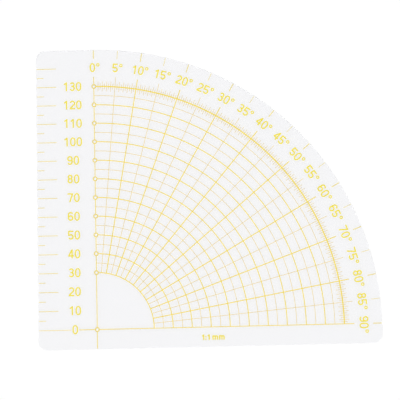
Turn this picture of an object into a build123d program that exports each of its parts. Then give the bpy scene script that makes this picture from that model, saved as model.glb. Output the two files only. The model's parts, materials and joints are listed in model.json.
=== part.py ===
from build123d import *
import os
from math import atan2, degrees, hypot, isclose

# Quadrant angle-and-radius template: one clear sheet with printed scales.
# Origin: axis of the pivot hole, on the underside.  +X runs along the 90 degree line,
# +Y along the 0 degree line and +Z up through the printed face.  Millimetres.

# Clear sheet
THICKNESS = 2.0
OUTER_RADIUS = 150.0
LEFT_MARGIN = 31.0
BOTTOM_MARGIN = 10.4
CORNER_RADIUS = 5.0
EDGE_CHAMFER = 0.25

# Holes on the 0 degree line: the pivot, then one for each drawn radius
HOLE_RADIUS = 0.6
FIRST_RADIUS = 30
LAST_RADIUS = 130
RADIUS_STEP = 10
RADII = range(FIRST_RADIUS, LAST_RADIUS + 1, RADIUS_STEP)
HOLE_PLACES = [0, *RADII]

# Ink film and line weights
INK_THICKNESS = 0.05
DEGREE_ARC_LINE = 0.60
HEAVY_LINE = 0.45
AXIS_LINE = 0.41
EDGE_TICK_LINE = 0.33
LIGHT_LINE = 0.26
DEGREE_TICK_LINE = 0.21
RING_INNER_RADIUS = 0.7
RING_OUTER_RADIUS = 1.3
INK_EDGE_GAP = 0.4

# Polar grid and degree scale
RIGHT_ANGLE = 90
HEAVY_ANGLE_STEP = 10
LIGHT_ANGLE_STEP = 5
HALF_DEGREE = 0.5
RAY_END = 135.2
DEGREE_TICK_REACH = 2.7
HALF_DEGREE_TICK_REACH = 1.65
OUTER_MARK_START = 145.1

# Straight scale along the left edge
LONG_TICK_END = -20.3
SHORT_TICK_END = -26.95
LAST_LONG_TICK = 140
LAST_SHORT_TICK = 135

# Lettering
DIGIT_HEIGHT = 4.75
DIGIT_WIDTH = 2.95
STROKE = 0.71
ADVANCE = 3.43
NUMERAL_CENTRE_X = -11.6
NUMERAL_RISE = 0.18
ZERO_CLEARANCE = 0.6
LABEL_BASELINE = 137.93
LABEL_SHIFT = -0.63
DEGREE_SIGN_OFFSET = 1.5
DEGREE_SIGN_OUTER = 0.92
DEGREE_SIGN_INNER = 0.38
NOTE_HEIGHT = 2.9
NOTE_STROKE = 1.1
NOTE_CENTRE = (60.9, -5.3)
LETTER_GAP = 0.75
WORD_GAP = 2.2


# ---------------------------------------------------------------- flat building blocks

def bar(start, end, width=STROKE):
    """A straight stroke with square ends, centred on the line from start to end."""
    run = (end[0] - start[0], end[1] - start[1])
    middle = Pos((start[0] + end[0]) / 2, (start[1] + end[1]) / 2)
    return middle * Rot(0, 0, degrees(atan2(run[1], run[0]))) * Rectangle(hypot(*run), width)


def bend(centre, radius, start_angle, end_angle, width=STROKE):
    """A curved stroke: part of a ring, anticlockwise from start_angle to end_angle."""
    sweep = end_angle - start_angle
    outer = CenterArc(centre, radius + width / 2, start_angle, sweep)
    inner = CenterArc(centre, radius - width / 2, start_angle, sweep)
    return make_face([outer, inner, Line(outer @ 0, inner @ 0), Line(outer @ 1, inner @ 1)])


def ring(outer_radius, inner_radius):
    return Circle(outer_radius) - Circle(inner_radius)


def radial_line(angle, start, end, width):
    """A straight line on the ray at this angle, clockwise from the 0 degree line."""
    return Rot(0, 0, -angle) * Pos(0, (start + end) / 2) * Rectangle(width, end - start)


def quarter_arc(radius, width):
    """A line of this radius about the pivot, from the 0 degree line to the 90 degree line."""
    return bend((0, 0), radius, 0, RIGHT_ANGLE, width)


def joined(shapes):
    return Sketch() + list(shapes)


# ---------------------------------------------------------------- lettering

BOWL = (DIGIT_WIDTH - STROKE) / 2
CENTRE = DIGIT_WIDTH / 2
LOW = STROKE / 2
HIGH = DIGIT_HEIGHT - STROKE / 2
LOW_BOWL = LOW + BOWL
HIGH_BOWL = HIGH - BOWL
LEFT = CENTRE - BOWL
LOWER_LOBE = 1.06
UPPER_LOBE = (HIGH - LOW) / 2 - LOWER_LOBE
DIGIT_FRAME = Pos(CENTRE, DIGIT_HEIGHT / 2) * Rectangle(DIGIT_WIDTH, DIGIT_HEIGHT)


def oval(half_width, half_height, straight):
    """An upright oval with sides that run straight this far above and below its middle."""
    cap = Ellipse(half_width, half_height - straight)
    ends = [Pos(0, straight) * cap, Pos(0, -straight) * cap]
    return joined([*ends, Rectangle(2 * half_width, 2 * straight)])


def zero():
    """An oval that stands a little over the other digits and is thinner at its top and foot."""
    overshoot = 0.06
    cap_stroke = 0.65
    straight = 0.45
    half_width = DIGIT_WIDTH / 2
    half_height = DIGIT_HEIGHT / 2 + overshoot
    hollow = oval(half_width - STROKE, half_height - cap_stroke, straight)
    return Pos(CENTRE, DIGIT_HEIGHT / 2) * (oval(half_width, half_height, straight) - hollow)


def one(stroke=STROKE):
    stem_shift = 0.3
    flag_reach = 1.3
    flag_drop = 0.95
    stem_x = CENTRE + stem_shift
    flag_top = DIGIT_HEIGHT - stroke / 2
    stem = bar((stem_x, 0), (stem_x, DIGIT_HEIGHT), stroke)
    flag = bar((stem_x, flag_top), (stem_x - flag_reach, flag_top - flag_drop), stroke)
    return joined([stem, flag]) & DIGIT_FRAME


def two():
    turn_start = 165
    turn_end = -50
    overhang = 0.35
    bowl = bend((CENTRE, HIGH_BOWL), BOWL, turn_end, turn_start)
    leaving = CenterArc((CENTRE, HIGH_BOWL), BOWL, 0, turn_end) @ 1
    slope = bar((leaving.X, leaving.Y), (LEFT - overhang, LOW))
    base = bar((0, LOW), (DIGIT_WIDTH, LOW))
    return joined([bowl, slope, base]) & DIGIT_FRAME


def three():
    open_end = 160
    waist_start = CENTRE - 0.45
    waist_end = CENTRE + 0.05
    waist_height = LOW + 2 * LOWER_LOBE
    upper = bend((CENTRE, HIGH - UPPER_LOBE), UPPER_LOBE, -90, open_end)
    lower = bend((CENTRE, LOW + LOWER_LOBE), LOWER_LOBE, -open_end, 90)
    return joined([upper, lower, bar((waist_start, waist_height), (waist_end, waist_height))])


def four():
    stem_left = CENTRE + 0.2
    bar_low = 1.0
    bar_high = bar_low + STROKE
    stem_x = stem_left + STROKE / 2
    slope_rise = DIGIT_HEIGHT - bar_high
    slope_length = hypot(stem_left, slope_rise)
    outer_corners = [(0, bar_low), (stem_x, bar_low), (stem_x, DIGIT_HEIGHT), (stem_left, DIGIT_HEIGHT)]
    outer = Polygon(*outer_corners, (0, bar_high), align=None)
    window_left = (STROKE * slope_length / slope_rise, bar_high)
    window_top = (stem_left, DIGIT_HEIGHT - STROKE * slope_length / stem_left)
    window = Polygon(window_left, (stem_left, bar_high), window_top, align=None)
    stem = bar((stem_x, 0), (stem_x, DIGIT_HEIGHT))
    crossbar = bar((stem_x, bar_low + STROKE / 2), (DIGIT_WIDTH, bar_low + STROKE / 2))
    return joined([outer - window, stem, crossbar])


def five():
    shoulder_end = DIGIT_WIDTH - 0.2
    stem_top_x = LEFT + 0.12
    stem_foot_x = LEFT - 0.05
    stem_foot_height = LOW_BOWL + 0.6
    bowl_start = -155
    bowl_end = 145
    shoulder = bar((LEFT, HIGH), (shoulder_end, HIGH))
    stem = bar((stem_top_x, DIGIT_HEIGHT), (stem_foot_x, stem_foot_height))
    bowl = bend((CENTRE, LOW_BOWL), BOWL, bowl_start, bowl_end)
    return joined([shoulder, stem, bowl]) & DIGIT_FRAME


def six():
    crown_start = 25
    bowl = Pos(CENTRE, LOW_BOWL) * ring(BOWL + STROKE / 2, BOWL - STROKE / 2)
    back = bar((LEFT, LOW_BOWL), (LEFT, HIGH_BOWL))
    crown = bend((CENTRE, HIGH_BOWL), BOWL, crown_start, 180)
    return joined([bowl, back, crown])


def seven():
    slope_top_x = DIGIT_WIDTH - 0.35
    slope_foot_x = CENTRE - 0.55
    top = bar((0, HIGH), (DIGIT_WIDTH, HIGH))
    slope = bar((slope_top_x, HIGH), (slope_foot_x, -STROKE))
    return joined([top, slope]) & DIGIT_FRAME


def eight():
    upper = Pos(CENTRE, HIGH - UPPER_LOBE) * ring(UPPER_LOBE + STROKE / 2, UPPER_LOBE - STROKE / 2)
    lower = Pos(CENTRE, LOW + LOWER_LOBE) * ring(LOWER_LOBE + STROKE / 2, LOWER_LOBE - STROKE / 2)
    return joined([upper, lower])


def nine():
    return Pos(DIGIT_WIDTH, DIGIT_HEIGHT) * Rot(0, 0, 180) * six()


DIGITS = [make() for make in (zero, one, two, three, four, five, six, seven, eight, nine)]


def run_width(count):
    return (count - 1) * ADVANCE + DIGIT_WIDTH


def number(value):
    """The digits of a number, centred left to right, standing on y = 0."""
    figures = [int(figure) for figure in str(value)]
    start = -run_width(len(figures)) / 2
    return [Pos(start + place * ADVANCE, 0) * DIGITS[figure] for place, figure in enumerate(figures)]


def colon(stroke):
    upper_dot = 0.6 * DIGIT_HEIGHT
    return joined([Pos(0, height) * Rectangle(stroke, stroke) for height in (stroke / 2, upper_dot)])


def letter_m(stroke):
    """A small m, four fifths as tall as a digit and standing on y = 0."""
    height = 0.8 * DIGIT_HEIGHT
    arch = 0.95
    arch_foot = height - stroke / 2 - arch
    legs = [bar((x, 0), (x, arch_foot), stroke) for x in (0, 2 * arch, 4 * arch)]
    spur = bar((0, arch_foot), (0, height), stroke)
    arches = [bend((turn * arch, arch_foot), arch, 0, 180, stroke) for turn in (1, 3)]
    return joined([*legs, spur, *arches])


def scale_note():
    """A plain note in bold, 1:1 mm, that says the scales are full size and in millimetres."""
    figure_one = one(NOTE_STROKE)
    small_m = letter_m(NOTE_STROKE)
    marks = [figure_one, colon(NOTE_STROKE), figure_one, small_m, small_m]
    gaps = [LETTER_GAP, LETTER_GAP, WORD_GAP, LETTER_GAP, 0]
    starts = []
    reach = 0
    for mark, gap in zip(marks, gaps):
        starts.append(reach - mark.bounding_box().min.X)
        reach += mark.bounding_box().size.X + gap
    size = NOTE_HEIGHT / DIGIT_HEIGHT
    corner = Pos(NOTE_CENTRE[0] - size * reach / 2, NOTE_CENTRE[1] - NOTE_HEIGHT / 2)
    return [corner * Pos(size * start, 0) * scale(mark, by=size) for start, mark in zip(starts, marks)]


# ---------------------------------------------------------------- printed scales, flat

def hole_rings():
    return [Pos(0, place) * ring(RING_OUTER_RADIUS, RING_INNER_RADIUS) for place in HOLE_PLACES]


def zero_degree_line():
    """The line that carries the holes, open where each ring stands."""
    starts = [INK_EDGE_GAP - BOTTOM_MARGIN, *[place + RING_OUTER_RADIUS for place in HOLE_PLACES]]
    ends = [*[place - RING_OUTER_RADIUS for place in HOLE_PLACES], RAY_END]
    return [bar((0, start), (0, end), AXIS_LINE) for start, end in zip(starts, ends)]


def ninety_degree_line():
    """The base line, open at the numeral 0 and at the pivot's ring."""
    half_gap = DIGIT_WIDTH / 2 + ZERO_CLEARANCE
    left_stub = bar((INK_EDGE_GAP - LEFT_MARGIN, 0), (NUMERAL_CENTRE_X - half_gap, 0), LIGHT_LINE)
    middle = bar((NUMERAL_CENTRE_X + half_gap, 0), (-RING_OUTER_RADIUS, 0), AXIS_LINE)
    main = bar((RING_OUTER_RADIUS, 0), (RAY_END, 0), AXIS_LINE)
    return [left_stub, middle, main]


def angles(first, last, step):
    return range(first, last + 1, step)


def heavy_grid():
    """Arcs every 10 mm, the last and widest of them for the degree scale, and rays every 10 degrees."""
    arcs = [quarter_arc(radius, HEAVY_LINE) for radius in RADII[:-1]]
    arcs.append(quarter_arc(LAST_RADIUS, DEGREE_ARC_LINE))
    rays = [
        radial_line(angle, FIRST_RADIUS, RAY_END, HEAVY_LINE)
        for angle in angles(HEAVY_ANGLE_STEP, RIGHT_ANGLE - HEAVY_ANGLE_STEP, HEAVY_ANGLE_STEP)
    ]
    return joined([*arcs, *rays])


def light_grid():
    first = FIRST_RADIUS + RADIUS_STEP // 2
    arcs = [quarter_arc(radius, LIGHT_LINE) for radius in range(first, LAST_RADIUS, RADIUS_STEP)]
    rays = [
        radial_line(angle, FIRST_RADIUS, RAY_END, LIGHT_LINE)
        for angle in angles(LIGHT_ANGLE_STEP, RIGHT_ANGLE - LIGHT_ANGLE_STEP, HEAVY_ANGLE_STEP)
    ]
    return joined([*arcs, *rays])


def scale_ticks(marked_angles, reach):
    """Ticks across the degree scale's arc, each as far inside it as outside."""
    start, end = LAST_RADIUS - reach, LAST_RADIUS + reach
    return joined([radial_line(angle, start, end, DEGREE_TICK_LINE) for angle in marked_angles])


def outer_marks(first, width):
    end = OUTER_RADIUS - INK_EDGE_GAP
    return [
        radial_line(angle, OUTER_MARK_START, end, width)
        for angle in angles(first, RIGHT_ANGLE, HEAVY_ANGLE_STEP)
    ]


def edge_ticks(first, last, end):
    start = INK_EDGE_GAP - LEFT_MARGIN
    return [bar((start, y), (end, y), EDGE_TICK_LINE) for y in range(first, last + 1, RADIUS_STEP)]


def radius_numerals():
    foot = NUMERAL_RISE - DIGIT_HEIGHT / 2
    return [
        Pos(NUMERAL_CENTRE_X, place + foot) * figure
        for place in range(0, LAST_RADIUS + 1, RADIUS_STEP)
        for figure in number(place)
    ]


def on_label_line(angle):
    return Rot(0, 0, -angle) * Pos(LABEL_SHIFT, LABEL_BASELINE)


def degree_numerals():
    return [
        on_label_line(angle) * figure
        for angle in angles(0, RIGHT_ANGLE, LIGHT_ANGLE_STEP)
        for figure in number(angle)
    ]


def degree_signs():
    rise = DIGIT_HEIGHT - DEGREE_SIGN_OUTER
    return [
        on_label_line(angle)
        * Pos(run_width(len(str(angle))) / 2 + DEGREE_SIGN_OFFSET, rise)
        * ring(DEGREE_SIGN_OUTER, DEGREE_SIGN_INNER)
        for angle in angles(0, RIGHT_ANGLE, LIGHT_ANGLE_STEP)
    ]


# ---------------------------------------------------------------- solids

def clear_plate():
    """The sheet: straight left and bottom edges, a quarter circle about the pivot, 12 holes."""
    left, bottom = -LEFT_MARGIN, -BOTTOM_MARGIN
    straight_sides = [
        Line((0, OUTER_RADIUS), (left, OUTER_RADIUS)),
        Line((left, OUTER_RADIUS), (left, bottom)),
        Line((left, bottom), (OUTER_RADIUS, bottom)),
        Line((OUTER_RADIUS, bottom), (OUTER_RADIUS, 0)),
    ]
    outline = make_face([*straight_sides, CenterArc((0, 0), OUTER_RADIUS, 0, RIGHT_ANGLE)])
    corners = outline.vertices().filter_by(lambda point: isclose(point.X, left) or isclose(point.Y, bottom))
    outline = fillet(corners, CORNER_RADIUS)
    sheet = extrude(outline, THICKNESS)
    rims = sheet.edges().filter_by(Plane.XY)
    sheet = chamfer(rims, EDGE_CHAMFER)
    holes = [Pos(0, place, THICKNESS / 2) * Cylinder(HOLE_RADIUS, 2 * THICKNESS) for place in HOLE_PLACES]
    return sheet - holes


def film(flat_shapes):
    """Ink of even thickness on the upper face, one solid for each separate mark."""
    faces = joined(flat_shapes).faces()
    return Compound([extrude(Pos(0, 0, THICKNESS) * face, INK_THICKNESS) for face in faces])


def printed_nodes():
    """The flat marks of each node, cut so that crossing lines share no ink."""
    whole_degrees = [angle for angle in range(1, RIGHT_ANGLE) if angle % LIGHT_ANGLE_STEP]
    half_degrees = [angle + HALF_DEGREE for angle in range(1, RIGHT_ANGLE)]
    discs = [Pos(0, place) * Circle(RING_OUTER_RADIUS) for place in HOLE_PLACES]
    axes = joined([*discs, *zero_degree_line(), *ninety_degree_line()])
    heavy = heavy_grid() - axes
    return {
        "hole_rings": hole_rings(),
        "zero_degree_line": zero_degree_line(),
        "ninety_degree_line": ninety_degree_line(),
        "grid_10": [heavy],
        "grid_5": [light_grid() - axes - heavy],
        "degree_ticks": [scale_ticks(whole_degrees, DEGREE_TICK_REACH) - heavy],
        "half_degree_ticks": [scale_ticks(half_degrees, HALF_DEGREE_TICK_REACH) - heavy],
        "outer_marks_10": outer_marks(0, HEAVY_LINE),
        "outer_marks_5": outer_marks(LIGHT_ANGLE_STEP, LIGHT_LINE),
        "edge_ticks_10": edge_ticks(RADIUS_STEP, LAST_LONG_TICK, LONG_TICK_END),
        "edge_ticks_5": edge_ticks(RADIUS_STEP // 2, LAST_SHORT_TICK, SHORT_TICK_END),
        "radius_numerals": radius_numerals(),
        "degree_numerals": degree_numerals(),
        "degree_signs": degree_signs(),
        "scale_note": scale_note(),
    }


os.makedirs("parts", exist_ok=True)
export_step(clear_plate(), "parts/clear_plate.step")
for node, marks in printed_nodes().items():
    export_step(film(marks), f"parts/{node}.step")
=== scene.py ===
import json
from math import cos, radians, sin

import bmesh
import bpy
from mathutils import Matrix, Vector


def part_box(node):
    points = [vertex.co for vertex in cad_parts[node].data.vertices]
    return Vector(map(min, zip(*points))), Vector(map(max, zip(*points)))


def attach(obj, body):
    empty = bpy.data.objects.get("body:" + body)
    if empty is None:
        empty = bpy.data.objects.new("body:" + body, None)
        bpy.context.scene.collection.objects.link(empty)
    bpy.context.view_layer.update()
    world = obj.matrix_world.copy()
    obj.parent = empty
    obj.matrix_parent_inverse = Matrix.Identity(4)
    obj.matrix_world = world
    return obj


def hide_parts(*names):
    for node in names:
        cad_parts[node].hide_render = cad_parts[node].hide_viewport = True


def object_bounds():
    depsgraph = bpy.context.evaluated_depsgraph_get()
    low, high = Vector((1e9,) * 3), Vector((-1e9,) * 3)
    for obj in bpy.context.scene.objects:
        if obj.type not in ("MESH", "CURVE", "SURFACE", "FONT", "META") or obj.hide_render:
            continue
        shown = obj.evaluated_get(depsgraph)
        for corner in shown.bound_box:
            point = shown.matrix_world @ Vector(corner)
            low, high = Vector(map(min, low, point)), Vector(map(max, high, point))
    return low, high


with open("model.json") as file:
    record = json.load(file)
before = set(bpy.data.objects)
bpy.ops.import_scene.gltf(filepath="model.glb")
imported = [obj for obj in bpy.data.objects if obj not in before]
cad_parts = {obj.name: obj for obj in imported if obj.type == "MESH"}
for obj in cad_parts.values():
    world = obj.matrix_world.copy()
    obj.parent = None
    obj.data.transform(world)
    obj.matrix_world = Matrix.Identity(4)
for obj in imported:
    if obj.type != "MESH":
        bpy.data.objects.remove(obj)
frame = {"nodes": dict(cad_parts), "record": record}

# A clear quadrant template lying on a pale table, seen from almost straight above.
# Everything is in metres, in the row frame: the origin is the pivot hole's axis on the underside,
# +X runs along the 90 degree line, +Y along the 0 degree line and +Z up through the printed face.

MM = 0.001
CAD_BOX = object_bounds()
BODY = "root"
RIGHT_ANGLE = 90
FULL_TURN = 360

# Shape of the clear sheet
SHEET_NODE = "clear_plate"
SHEET_LOW, SHEET_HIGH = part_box(SHEET_NODE)
CORNER_RADIUS = 5.0 * MM
EDGE_ROUNDING = 0.22 * MM
HOLE_EDGE_ROUNDING = 0.06 * MM
INK_CLEARANCE = 0.008 * MM
RIM_ARC_STEPS = 180
CORNER_STEPS = 24
HOLE_STEPS = 64
ROUNDING_STEPS = 5

# Acrylic
EDGE_SLOT = 1
ACRYLIC_IOR = 1.49
FACE_TINT = (0.968, 0.969, 0.985)
FACE_ROUGHNESS = 0.012
WAVE_HEIGHT = 0.010 * MM
EDGE_TINT = (0.88, 0.885, 0.90)
EDGE_CLEARNESS = 0.35
EDGE_ROUGHNESS = (0.28, 0.50)
TOOL_MARK_STRETCH = (0.6, 0.6, 6.0)
CHATTER_STRETCH = (2.2, 2.2, 0.15)
TOOL_MARK_HEIGHT = 0.02 * MM

# Hairline scratches: degrees anticlockwise from +Y, noise scale across the hairs, noise scale of the
# patches that they lie in, and the noise level at which such a patch begins
SCRATCHES = [(17, 0.55, 0.0469, 0.56), (74, 0.40, 0.0532, 0.58)]
SCRATCH_SLENDERNESS = 0.018
SCRATCH_WIDTH = 0.006
SCRATCH_FADE = 0.05
SCRATCH_ROUGHNESS = 0.05
SCRATCH_DEPTH = 0.004 * MM

# Printed ink: each shade's linear colour where the ink is thin and where it is thick
INK_COLOURS = {
    "yellow_ink": ((0.818, 0.640, 0.055), (0.793, 0.610, 0.042)),
    "fine_line_ink": ((0.745, 0.575, 0.185), (0.720, 0.545, 0.165)),
    "fine_tick_ink": ((0.710, 0.540, 0.160), (0.685, 0.510, 0.140)),
    "axis_line_ink": ((0.810, 0.645, 0.110), (0.785, 0.615, 0.095)),
    # The rings' ink is printed yellow, darkened and greyed with painted shade for the dark edges of the
    # drilled holes
    "ring_ink_with_painted_hole_shade": ((0.750, 0.610, 0.150), (0.725, 0.580, 0.130)),
    "margin_mark_ink": ((0.780, 0.645, 0.175), (0.755, 0.615, 0.155)),
    "lettering_ink": ((0.810, 0.690, 0.055), (0.785, 0.660, 0.042)),
}
INKED_NODES = {
    "yellow_ink": ["grid_10"],
    "fine_line_ink": ["grid_5"],
    "fine_tick_ink": ["degree_ticks", "half_degree_ticks"],
    "axis_line_ink": ["zero_degree_line", "ninety_degree_line"],
    # The rings take the ink that carries painted shade from the drilled holes' edges
    "ring_ink_with_painted_hole_shade": ["hole_rings"],
    "margin_mark_ink": ["outer_marks_10", "outer_marks_5", "edge_ticks_10", "edge_ticks_5"],
    "lettering_ink": ["radius_numerals", "degree_numerals", "degree_signs", "scale_note"],
}
INK_IOR = 1.5
INK_ROUGHNESS = (0.34, 0.52)
PINHOLE_DEPTH = 0.01 * MM
PINHOLE_PALENESS = 0.25
PINHOLE_SHARE = 0.5

# The printing screen's threads: degrees anticlockwise from +Y, and noise scale across, along and up
THREAD_ANGLES = (22.5, 112.5)
THREAD_STRETCH = (9.0, 1.5, 1.0)
THREAD_HEIGHT = 0.006 * MM

# Table and light; the sky is (sine of the height above the horizon, brightness)
FLOOR_REACH = 6.0
FLOOR_CLEARANCE = 0.02 * MM
FLOOR_COLOUR = (0.20, 0.20, 0.20)
FLOOR_ROUGHNESS = 0.9
FLOOR_GLOW = 0.785
SKY_STRENGTH = 0.93
SKY = [(0.0, 0.60), (0.45, 0.68), (0.68, 0.75), (0.76, 2.67), (0.87, 2.67), (0.945, 0.22), (1.0, 0.20)]

# Camera: angles in degrees, lens and sensor in millimetres
VIEW_AZIMUTH = 3.92
VIEW_ELEVATION = 83.34
VIEW_ROLL = 1.30
VIEW_DISTANCE = 0.7704
VIEW_SHIFT_FROM_CENTRE = Vector((-3.91, -2.49, 1.0)) * MM
LENS = 130.5
SENSOR = 36.0


# ---------------------------------------------------------------- node helpers

# Sockets of the colour mix node, which share their names with those for other kinds of value
MIX_SHARE, MIX_FIRST, MIX_SECOND, MIX_RESULT = 0, 6, 7, 2

# Most of a noise's values lie between these
NOISE_RANGE = (0.3, 0.7)


def opaque(colour):
    """A colour with full alpha."""
    return (*colour, 1)


class Nodes:
    """A new material's node tree, with short ways to add nodes and join them."""

    def __init__(self, name):
        self.material = bpy.data.materials.new(name)
        self.material.use_nodes = True
        self.tree = self.material.node_tree
        self.shader = self.tree.nodes["Principled BSDF"]
        self.output = self.tree.nodes["Material Output"]

    def add(self, kind, **settings):
        node = self.tree.nodes.new(kind)
        for name, value in settings.items():
            setattr(node, name, value)
        return node

    def feed(self, socket, value):
        """A link if value is an output, or else a plain value."""
        if isinstance(value, bpy.types.NodeSocket):
            self.tree.links.new(value, socket)
        else:
            socket.default_value = value

    def millimetres(self):
        """The row frame's coordinates, in millimetres."""
        place = self.add("ShaderNodeTexCoord").outputs["Object"]
        scaled = self.add("ShaderNodeVectorMath", operation="SCALE")
        self.feed(scaled.inputs[0], place)
        scaled.inputs["Scale"].default_value = 1 / MM
        return scaled.outputs[0]

    def stretched(self, place, scale, turn=0.0):
        """Coordinates along axes turned about Z, anticlockwise by this many degrees, and scaled."""
        mapping = self.add("ShaderNodeMapping", vector_type="TEXTURE")
        self.feed(mapping.inputs["Vector"], place)
        mapping.inputs["Rotation"].default_value = (0, 0, radians(turn))
        mapping.inputs["Scale"].default_value = [1 / times for times in scale]
        return mapping.outputs[0]

    def noise(self, place, scale, detail):
        texture = self.add("ShaderNodeTexNoise")
        self.feed(texture.inputs["Vector"], place)
        texture.inputs["Scale"].default_value = scale
        texture.inputs["Detail"].default_value = detail
        return texture.outputs["Fac"]

    def specks(self, place, scale):
        """The distance to the nearest of a scatter of points."""
        texture = self.add("ShaderNodeTexVoronoi")
        self.feed(texture.inputs["Vector"], place)
        texture.inputs["Scale"].default_value = scale
        return texture.outputs["Distance"]

    def span(self, value, low, high, to_low=0.0, to_high=1.0):
        """Low to high, mapped to a new range and held inside it."""
        mapped = self.add("ShaderNodeMapRange")
        self.feed(mapped.inputs["Value"], value)
        mapped.inputs["From Min"].default_value = low
        mapped.inputs["From Max"].default_value = high
        mapped.inputs["To Min"].default_value = to_low
        mapped.inputs["To Max"].default_value = to_high
        return mapped.outputs["Result"]

    def maths(self, operation, first, second=0.0):
        node = self.add("ShaderNodeMath", operation=operation)
        self.feed(node.inputs[0], first)
        self.feed(node.inputs[1], second)
        return node.outputs[0]

    def blend(self, share, first, second):
        """first where share is 0 and second where it is 1, as colours."""
        mix = self.add("ShaderNodeMix", data_type="RGBA")
        self.feed(mix.inputs[MIX_SHARE], share)
        self.feed(mix.inputs[MIX_FIRST], first)
        self.feed(mix.inputs[MIX_SECOND], second)
        return mix.outputs[MIX_RESULT]

    def bump(self, height, distance, under=None):
        """A normal from a height of 0 to 1, distance metres from low to high."""
        node = self.add("ShaderNodeBump")
        self.feed(node.inputs["Height"], height)
        node.inputs["Distance"].default_value = distance
        if under is not None:
            self.feed(node.inputs["Normal"], under)
        return node.outputs["Normal"]


# ---------------------------------------------------------------- materials

def ink_material(name, thin_colour, thick_colour):
    """Screen-printed ink: patchy density, a fine mesh grain and small pinholes, satin."""
    ink = Nodes(name)
    place = ink.millimetres()
    thickness = ink.span(ink.noise(place, scale=0.9, detail=4.0), low=0.32, high=0.68)
    pinholes = ink.span(ink.specks(place, scale=2.4), low=0.05, high=0.11, to_low=1.0, to_high=0.0)
    patchy = ink.blend(thickness, opaque(thin_colour), opaque(thick_colour))
    pale = [1 - (1 - PINHOLE_PALENESS) * (1 - channel) for channel in thin_colour]
    colour = ink.blend(ink.maths("MULTIPLY", pinholes, PINHOLE_SHARE), patchy, opaque(pale))
    ink.feed(ink.shader.inputs["Base Color"], colour)
    sheen_patches = ink.noise(place, scale=3.5, detail=3.0)
    ink.feed(ink.shader.inputs["Roughness"], ink.span(sheen_patches, *NOISE_RANGE, *INK_ROUGHNESS))
    along = [ink.stretched(place, THREAD_STRETCH, angle) for angle in THREAD_ANGLES]
    threads = [ink.noise(direction, scale=1.0, detail=1.0) for direction in along]
    grain = ink.bump(ink.maths("ADD", *threads), THREAD_HEIGHT)
    ink.feed(ink.shader.inputs["Normal"], ink.bump(pinholes, -PINHOLE_DEPTH, under=grain))
    ink.shader.inputs["IOR"].default_value = INK_IOR
    return ink.material


def scratches(glass, place, turn, scale, patch_scale, rarity):
    """Long thin hairlines in one direction: 1 on a line and 0 elsewhere."""
    along = glass.stretched(place, (scale, scale * SCRATCH_SLENDERNESS, 1.0), turn)
    waves = glass.noise(along, scale=1.0, detail=2.0)
    off_middle = glass.maths("ABSOLUTE", glass.maths("SUBTRACT", waves, 0.5))
    line = glass.span(off_middle, low=0.0, high=SCRATCH_WIDTH, to_low=1.0, to_high=0.0)
    patches = glass.noise(place, scale=patch_scale, detail=1.0)
    return glass.maths("MULTIPLY", line, glass.span(patches, rarity, rarity + SCRATCH_FADE))


def let_light_through(glass):
    """Light for the table and for the ink goes straight through, so that the sheet casts no dark shadow."""
    path = glass.add("ShaderNodeLightPath")
    straight = glass.maths("MAXIMUM", path.outputs["Is Shadow Ray"], path.outputs["Is Diffuse Ray"])
    through = glass.add("ShaderNodeBsdfTransparent")
    through.inputs["Color"].default_value = (1, 1, 1, 1)
    mix = glass.add("ShaderNodeMixShader")
    for socket, value in zip(mix.inputs, (straight, glass.shader.outputs[0], through.outputs[0])):
        glass.feed(socket, value)
    glass.feed(glass.output.inputs["Surface"], mix.outputs[0])


def acrylic(glass, tint, clearness):
    """The settings that are the same all over a surface of the sheet."""
    glass.shader.inputs["Base Color"].default_value = opaque(tint)
    glass.shader.inputs["Transmission Weight"].default_value = clearness
    glass.shader.inputs["IOR"].default_value = ACRYLIC_IOR
    let_light_through(glass)
    return glass.material


def face_material():
    """Polished clear acrylic: slightly wavy, with hairline handling scratches."""
    glass = Nodes("clear_acrylic")
    place = glass.millimetres()
    hairs = glass.maths("MAXIMUM", *[scratches(glass, place, *direction) for direction in SCRATCHES])
    cloudiness = glass.noise(place, scale=0.05, detail=2.0)
    polish = glass.span(cloudiness, *NOISE_RANGE, to_high=FACE_ROUGHNESS)
    roughness = glass.maths("ADD", polish, glass.maths("MULTIPLY", hairs, SCRATCH_ROUGHNESS))
    glass.feed(glass.shader.inputs["Roughness"], roughness)
    waviness = glass.bump(glass.noise(place, scale=0.03, detail=1.0), WAVE_HEIGHT)
    glass.feed(glass.shader.inputs["Normal"], glass.bump(hairs, -SCRATCH_DEPTH, under=waviness))
    return acrylic(glass, FACE_TINT, clearness=1.0)


def edge_material():
    """Cut edges and drilled walls: the same acrylic, frosted by tool marks round them and up them."""
    glass = Nodes("cut_acrylic_edge")
    place = glass.millimetres()
    tool_marks = glass.noise(glass.stretched(place, TOOL_MARK_STRETCH), scale=2.0, detail=3.0)
    chatter = glass.noise(glass.stretched(place, CHATTER_STRETCH), scale=2.0, detail=2.0)
    glass.feed(glass.shader.inputs["Roughness"], glass.span(tool_marks, *NOISE_RANGE, *EDGE_ROUGHNESS))
    ridges = glass.bump(tool_marks, TOOL_MARK_HEIGHT)
    glass.feed(glass.shader.inputs["Normal"], glass.bump(chatter, TOOL_MARK_HEIGHT, under=ridges))
    return acrylic(glass, EDGE_TINT, clearness=EDGE_CLEARNESS)


def table_material():
    """Matt and pale, with a glow of its own that brings it up to white."""
    table = Nodes("pale_table")
    table.shader.inputs["Base Color"].default_value = opaque(FLOOR_COLOUR)
    table.shader.inputs["Roughness"].default_value = FLOOR_ROUGHNESS
    table.shader.inputs["Specular IOR Level"].default_value = 0.0
    table.shader.inputs["Emission Color"].default_value = (1, 1, 1, 1)
    table.shader.inputs["Emission Strength"].default_value = FLOOR_GLOW
    return table.material


# ---------------------------------------------------------------- the clear sheet

def arc(centre, radius, start, end, steps):
    """Points from start to end degrees, measured anticlockwise from +X, without the last one."""
    turns = [radians(start + (end - start) * step / steps) for step in range(steps)]
    return [(centre[0] + radius * cos(turn), centre[1] + radius * sin(turn)) for turn in turns]


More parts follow.
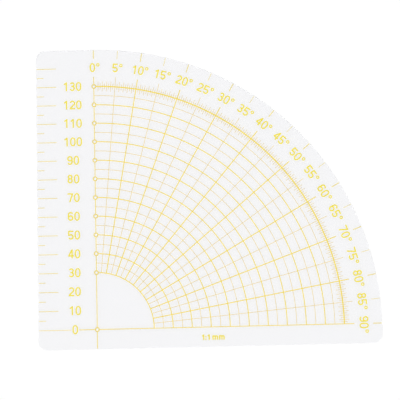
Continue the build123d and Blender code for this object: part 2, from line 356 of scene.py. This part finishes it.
def outline(inset):
    """The sheet's edge moved inwards: a quarter circle about the pivot and three rounded corners."""
    left, bottom = SHEET_LOW.x, SHEET_LOW.y
    right, top = SHEET_HIGH.x, SHEET_HIGH.y
    corner = CORNER_RADIUS - inset
    low, high = bottom + CORNER_RADIUS, top - CORNER_RADIUS
    near, far = left + CORNER_RADIUS, right - CORNER_RADIUS
    points = arc((0, 0), right - inset, 0, RIGHT_ANGLE, RIM_ARC_STEPS)
    points.append((0, top - inset))
    points += arc((near, high), corner, RIGHT_ANGLE, 2 * RIGHT_ANGLE, CORNER_STEPS)
    points.append((left + inset, high))
    points += arc((near, low), corner, 2 * RIGHT_ANGLE, 3 * RIGHT_ANGLE, CORNER_STEPS)
    points.append((near, bottom + inset))
    points += arc((far, low), corner, 3 * RIGHT_ANGLE, FULL_TURN, CORNER_STEPS)
    points.append((right - inset, low))
    return points


def rim_profile(rounding, bottom, top):
    """(distance in from the wall, height) from the lower face to the upper one, with rounded edges."""
    quarter = [radians(RIGHT_ANGLE * step / ROUNDING_STEPS) for step in range(ROUNDING_STEPS + 1)]
    lower = [(rounding * (1 - sin(turn)), bottom + rounding * (1 - cos(turn))) for turn in quarter]
    upper = [(inset, bottom + top - height) for inset, height in reversed(lower)]
    return lower + upper


def wall(mesh, loop_at, profile):
    """Rings of faces up one edge of the sheet. Returns the lowest and highest loops' edges."""
    loops = [[mesh.verts.new((x, y, height)) for x, y in loop_at(inset)] for inset, height in profile]
    count = len(loops[0])
    for lower, upper in zip(loops, loops[1:]):
        for place in range(count):
            after = (place + 1) % count
            face = mesh.faces.new((lower[place], lower[after], upper[after], upper[place]))
            face.smooth = True
            face.material_index = EDGE_SLOT
    ends = []
    for loop in (loops[0], loops[-1]):
        ends.append([mesh.edges.get((loop[place], loop[(place + 1) % count])) for place in range(count)])
    return ends


def hole_wall(mesh, centre, radius, bottom, top):
    """The wall of one drilled hole."""
    profile = rim_profile(HOLE_EDGE_ROUNDING, bottom, top)
    return wall(mesh, lambda inset: arc(centre, radius + inset, FULL_TURN, 0, HOLE_STEPS), profile)


def clear_sheet():
    """The sheet with rounded edges and its drilled holes, which the record gives as bores."""
    mesh = bmesh.new()
    bottom, top = SHEET_LOW.z, SHEET_HIGH.z - INK_CLEARANCE
    lower_edges, upper_edges = wall(mesh, outline, rim_profile(EDGE_ROUNDING, bottom, top))
    for mount in frame["record"]["mounts"]:
        if mount["kind"] == "bore":
            low, high = hole_wall(mesh, mount["pos_m"][:2], mount["dims"]["r_mm"] * MM, bottom, top)
            lower_edges += low
            upper_edges += high
    for edges in (lower_edges, upper_edges):
        bmesh.ops.triangle_fill(mesh, edges=edges, use_beauty=True, use_dissolve=False)
    bmesh.ops.recalc_face_normals(mesh, faces=mesh.faces)
    data = bpy.data.meshes.new("sheet")
    mesh.to_mesh(data)
    mesh.free()
    data.materials.append(face_material())
    data.materials.append(edge_material())
    sheet = bpy.data.objects.new("sheet", data)
    bpy.context.scene.collection.objects.link(sheet)
    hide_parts(SHEET_NODE)
    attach(sheet, BODY)


# ---------------------------------------------------------------- printed marks

def paint_printing():
    """Each printed node gets its shade of ink."""
    for name, nodes in INKED_NODES.items():
        ink = ink_material(name, *INK_COLOURS[name])
        for node in nodes:
            materials = frame["nodes"][node].data.materials
            materials.clear()
            materials.append(ink)


# ---------------------------------------------------------------- studio

def make_table():
    """A plain square under the sheet, reaching far out on every side."""
    data = bpy.data.meshes.new("table")
    height = CAD_BOX[0].z - FLOOR_CLEARANCE
    near, far = -FLOOR_REACH, FLOOR_REACH
    corners = [(near, near), (far, near), (far, far), (near, far)]
    data.from_pydata([(x, y, height) for x, y in corners], [], [(0, 1, 2, 3)])
    data.materials.append(table_material())
    table = bpy.data.objects.new("table", data)
    bpy.context.scene.collection.objects.link(table)


def make_sky():
    """Soft light from all round, brightest in a ring at about 55 degrees and dim straight above."""
    world = bpy.data.worlds.new("studio")
    bpy.context.scene.world = world
    world.use_nodes = True
    tree = world.node_tree
    place = tree.nodes.new("ShaderNodeTexCoord")
    parts = tree.nodes.new("ShaderNodeSeparateXYZ")
    ramp = tree.nodes.new("ShaderNodeValToRGB")
    background = tree.nodes["Background"]
    tree.links.new(place.outputs["Generated"], parts.inputs[0])
    tree.links.new(parts.outputs["Z"], ramp.inputs[0])
    tree.links.new(ramp.outputs[0], background.inputs["Color"])
    background.inputs["Strength"].default_value = SKY_STRENGTH
    # A new ramp has its two end stops already
    stops = ramp.color_ramp.elements
    for height, _ in SKY[1:-1]:
        stops.new(height)
    for stop, (_, brightness) in zip(stops, SKY):
        stop.color = (brightness, brightness, brightness, 1)


def make_camera():
    """Almost straight above, with the 0 degree line pointing up the picture."""
    data = bpy.data.cameras.new("camera")
    data.lens = LENS
    data.sensor_width = SENSOR
    camera = bpy.data.objects.new("camera", data)
    bpy.context.scene.collection.objects.link(camera)
    azimuth, elevation, roll = radians(VIEW_AZIMUTH), radians(VIEW_ELEVATION), radians(VIEW_ROLL)
    back = Vector((sin(azimuth) * cos(elevation), -cos(azimuth) * cos(elevation), sin(elevation)))
    right = Vector((sin(roll), cos(roll), 0)).cross(back).normalized()
    up = back.cross(right)
    target = (CAD_BOX[0] + CAD_BOX[1]) / 2 + VIEW_SHIFT_FROM_CENTRE
    turn = Matrix((right, up, back)).transposed().to_4x4()
    camera.matrix_world = Matrix.Translation(target + back * VIEW_DISTANCE) @ turn
    bpy.context.scene.camera = camera


bpy.context.scene.view_settings.view_transform = "Standard"
clear_sheet()
paint_printing()
make_table()
make_sky()
make_camera()

bpy.context.view_layer.update()
